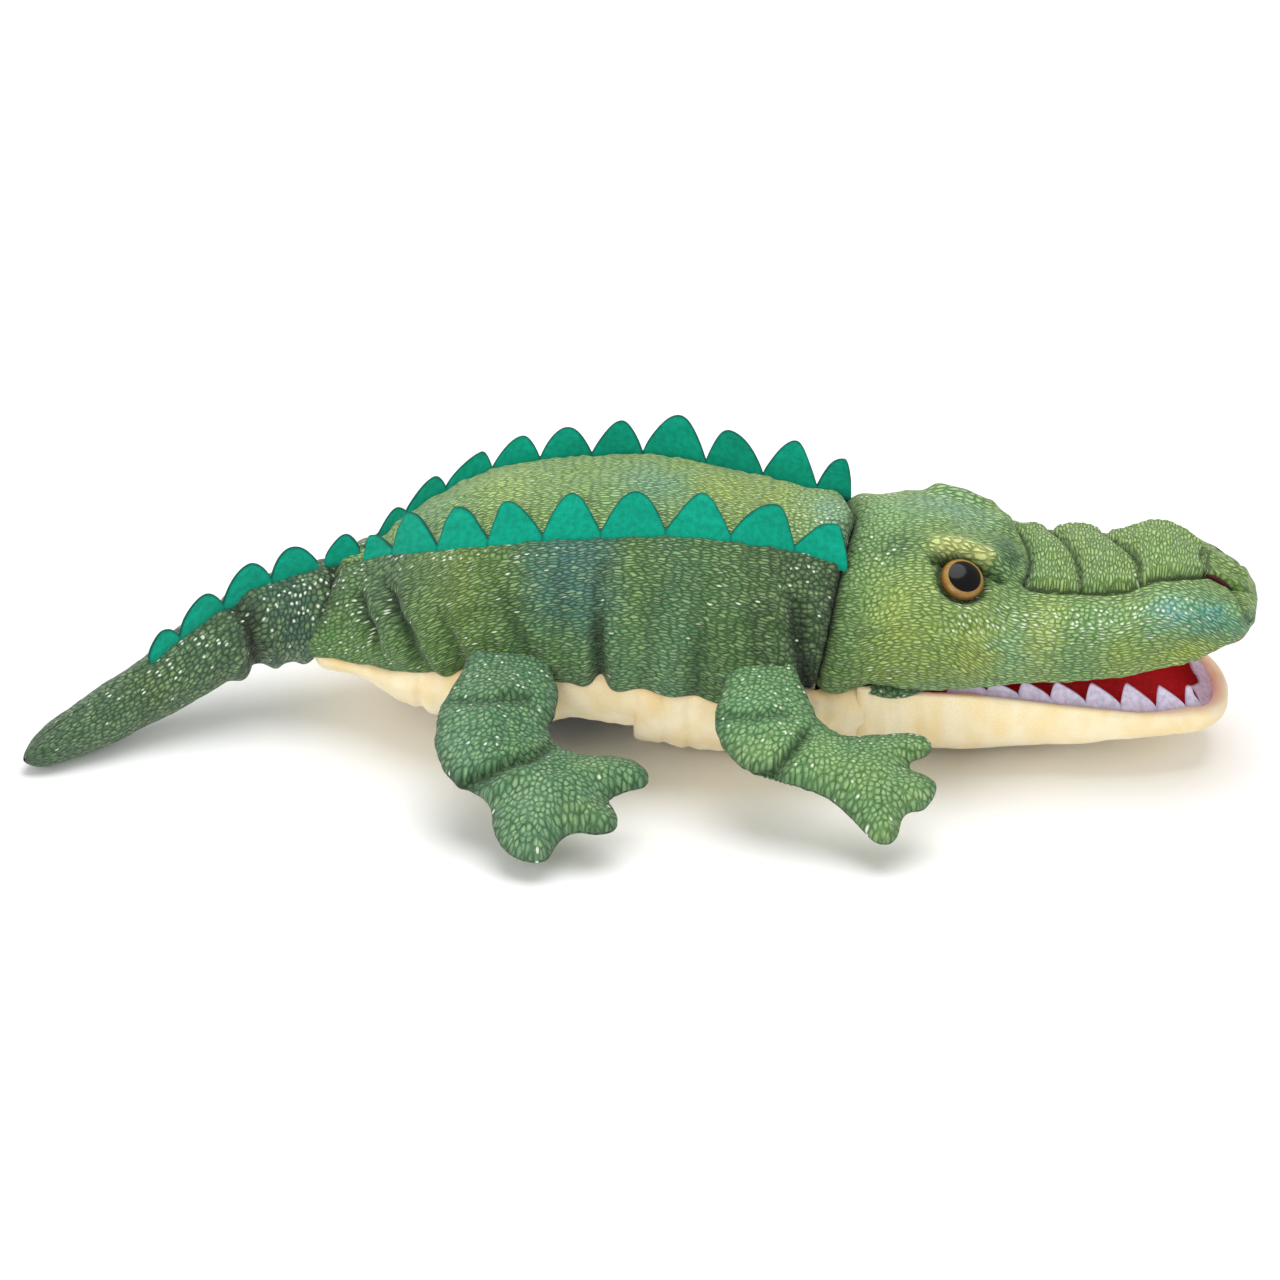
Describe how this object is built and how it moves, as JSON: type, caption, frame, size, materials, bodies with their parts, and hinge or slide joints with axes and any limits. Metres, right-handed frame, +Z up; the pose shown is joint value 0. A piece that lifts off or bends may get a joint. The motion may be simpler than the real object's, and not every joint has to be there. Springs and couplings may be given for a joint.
{
  "type": "moving mouth puppet",
  "caption": "Plush crocodile hand puppet: the hand goes in at the belly and works the hinged lower jaw; the neck, legs and tail flex on their seams.",
  "frame": {"origin": "on the surface the puppet lies on, under the middle of its bounding box", "axes": "+X from the tail towards the nose, +Y to the animal's left, +Z up"},
  "size_m": [0.5005, 0.2808, 0.1254],
  "materials": {
    "green_plush": "printed short-pile velour embossed with scales",
    "cream_plush": "short-pile velour",
    "green_felt": "pressed felt, cut edges",
    "red_felt": "pressed felt",
    "white_felt": "pressed felt, cut edges",
    "lining_cloth": "plain woven cloth",
    "fibre_stuffing": "loose polyester fibre",
    "mouth_board": "stiff flexible sheet",
    "eye_plastic": "glossy black pupil in an amber ring",
    "washer_plastic": "natural nylon"
  },
  "bodies": {
    "torso": {"back_panel": "green_plush", "side_panel_left": "green_plush", "side_panel_right": "green_plush", "belly_front_panel": "cream_plush", "belly_rear_panel": "cream_plush", "glove_lining": "lining_cloth", "ridge_left": "green_felt", "ridge_right": "green_felt", "ridge_rump": "green_felt", "neck_band": "green_plush"},
    "head": {"crown_panel": "green_plush", "snout_top_panel": "green_plush", "nose_cap": "green_plush", "cheek_left": "green_plush", "cheek_right": "green_plush", "brow_left": "green_plush", "brow_right": "green_plush", "eye_left": "eye_plastic", "eye_right": "eye_plastic", "eye_washer_left": "washer_plastic", "eye_washer_right": "washer_plastic", "head_stuffing": "fibre_stuffing", "upper_palate_board": "mouth_board", "upper_mouth_lining": "red_felt", "finger_pocket": "lining_cloth", "throat_panel": "cream_plush"},
    "jaw": {"lower_jaw_skin": "cream_plush", "lower_palate_board": "mouth_board", "lower_mouth_lining": "red_felt", "tooth_strip": "white_felt", "thumb_pocket": "lining_cloth"},
    "tail": {"tail_skin_left": "green_plush", "tail_skin_right": "green_plush", "tail_stuffing": "fibre_stuffing", "ridge_tail": "green_felt"},
    "front_leg_left": {"front_leg_top_left": "green_plush", "front_leg_sole_left": "green_plush", "front_leg_stuffing_left": "fibre_stuffing"},
    "front_leg_right": {"front_leg_top_right": "green_plush", "front_leg_sole_right": "green_plush", "front_leg_stuffing_right": "fibre_stuffing"},
    "rear_leg_left": {"rear_leg_top_left": "green_plush", "rear_leg_sole_left": "green_plush", "rear_leg_stuffing_left": "fibre_stuffing"},
    "rear_leg_right": {"rear_leg_top_right": "green_plush", "rear_leg_sole_right": "green_plush", "rear_leg_stuffing_right": "fibre_stuffing"}
  },
  "joints": [
    {"name": "neck_nod", "type": "hinge", "parent": "torso", "child": "head", "pos_m": [0.08, 0, 0.051], "axis": [0, 1, 0], "range_deg": [-18, 15], "deforming": ["neck_band"]},
    {"name": "jaw_open", "type": "hinge", "parent": "head", "child": "jaw", "pos_m": [0.118, 0, 0.043], "axis": [0, 1, 0], "range_deg": [-6, 30], "deforming": ["throat_panel"]},
    {"name": "tail_wag", "type": "hinge", "parent": "torso", "child": "tail", "pos_m": [-0.128, 0, 0.0435], "axis": [0, 0, 1], "range_deg": [-25, 25]},
    {"name": "front_hip_left", "type": "hinge", "parent": "torso", "child": "front_leg_left", "pos_m": [0.049, 0.075, 0.047], "axis": [1, 0, 0], "range_deg": [-30, 45]},
    {"name": "front_hip_right", "type": "hinge", "parent": "torso", "child": "front_leg_right", "pos_m": [0.049, -0.075, 0.047], "axis": [-1, 0, 0], "range_deg": [-30, 45]},
    {"name": "rear_hip_left", "type": "hinge", "parent": "torso", "child": "rear_leg_left", "pos_m": [-0.055, 0.075, 0.0477], "axis": [1, 0, 0], "range_deg": [-30, 45]},
    {"name": "rear_hip_right", "type": "hinge", "parent": "torso", "child": "rear_leg_right", "pos_m": [-0.055, -0.075, 0.0477], "axis": [-1, 0, 0], "range_deg": [-30, 45]}
  ]
}
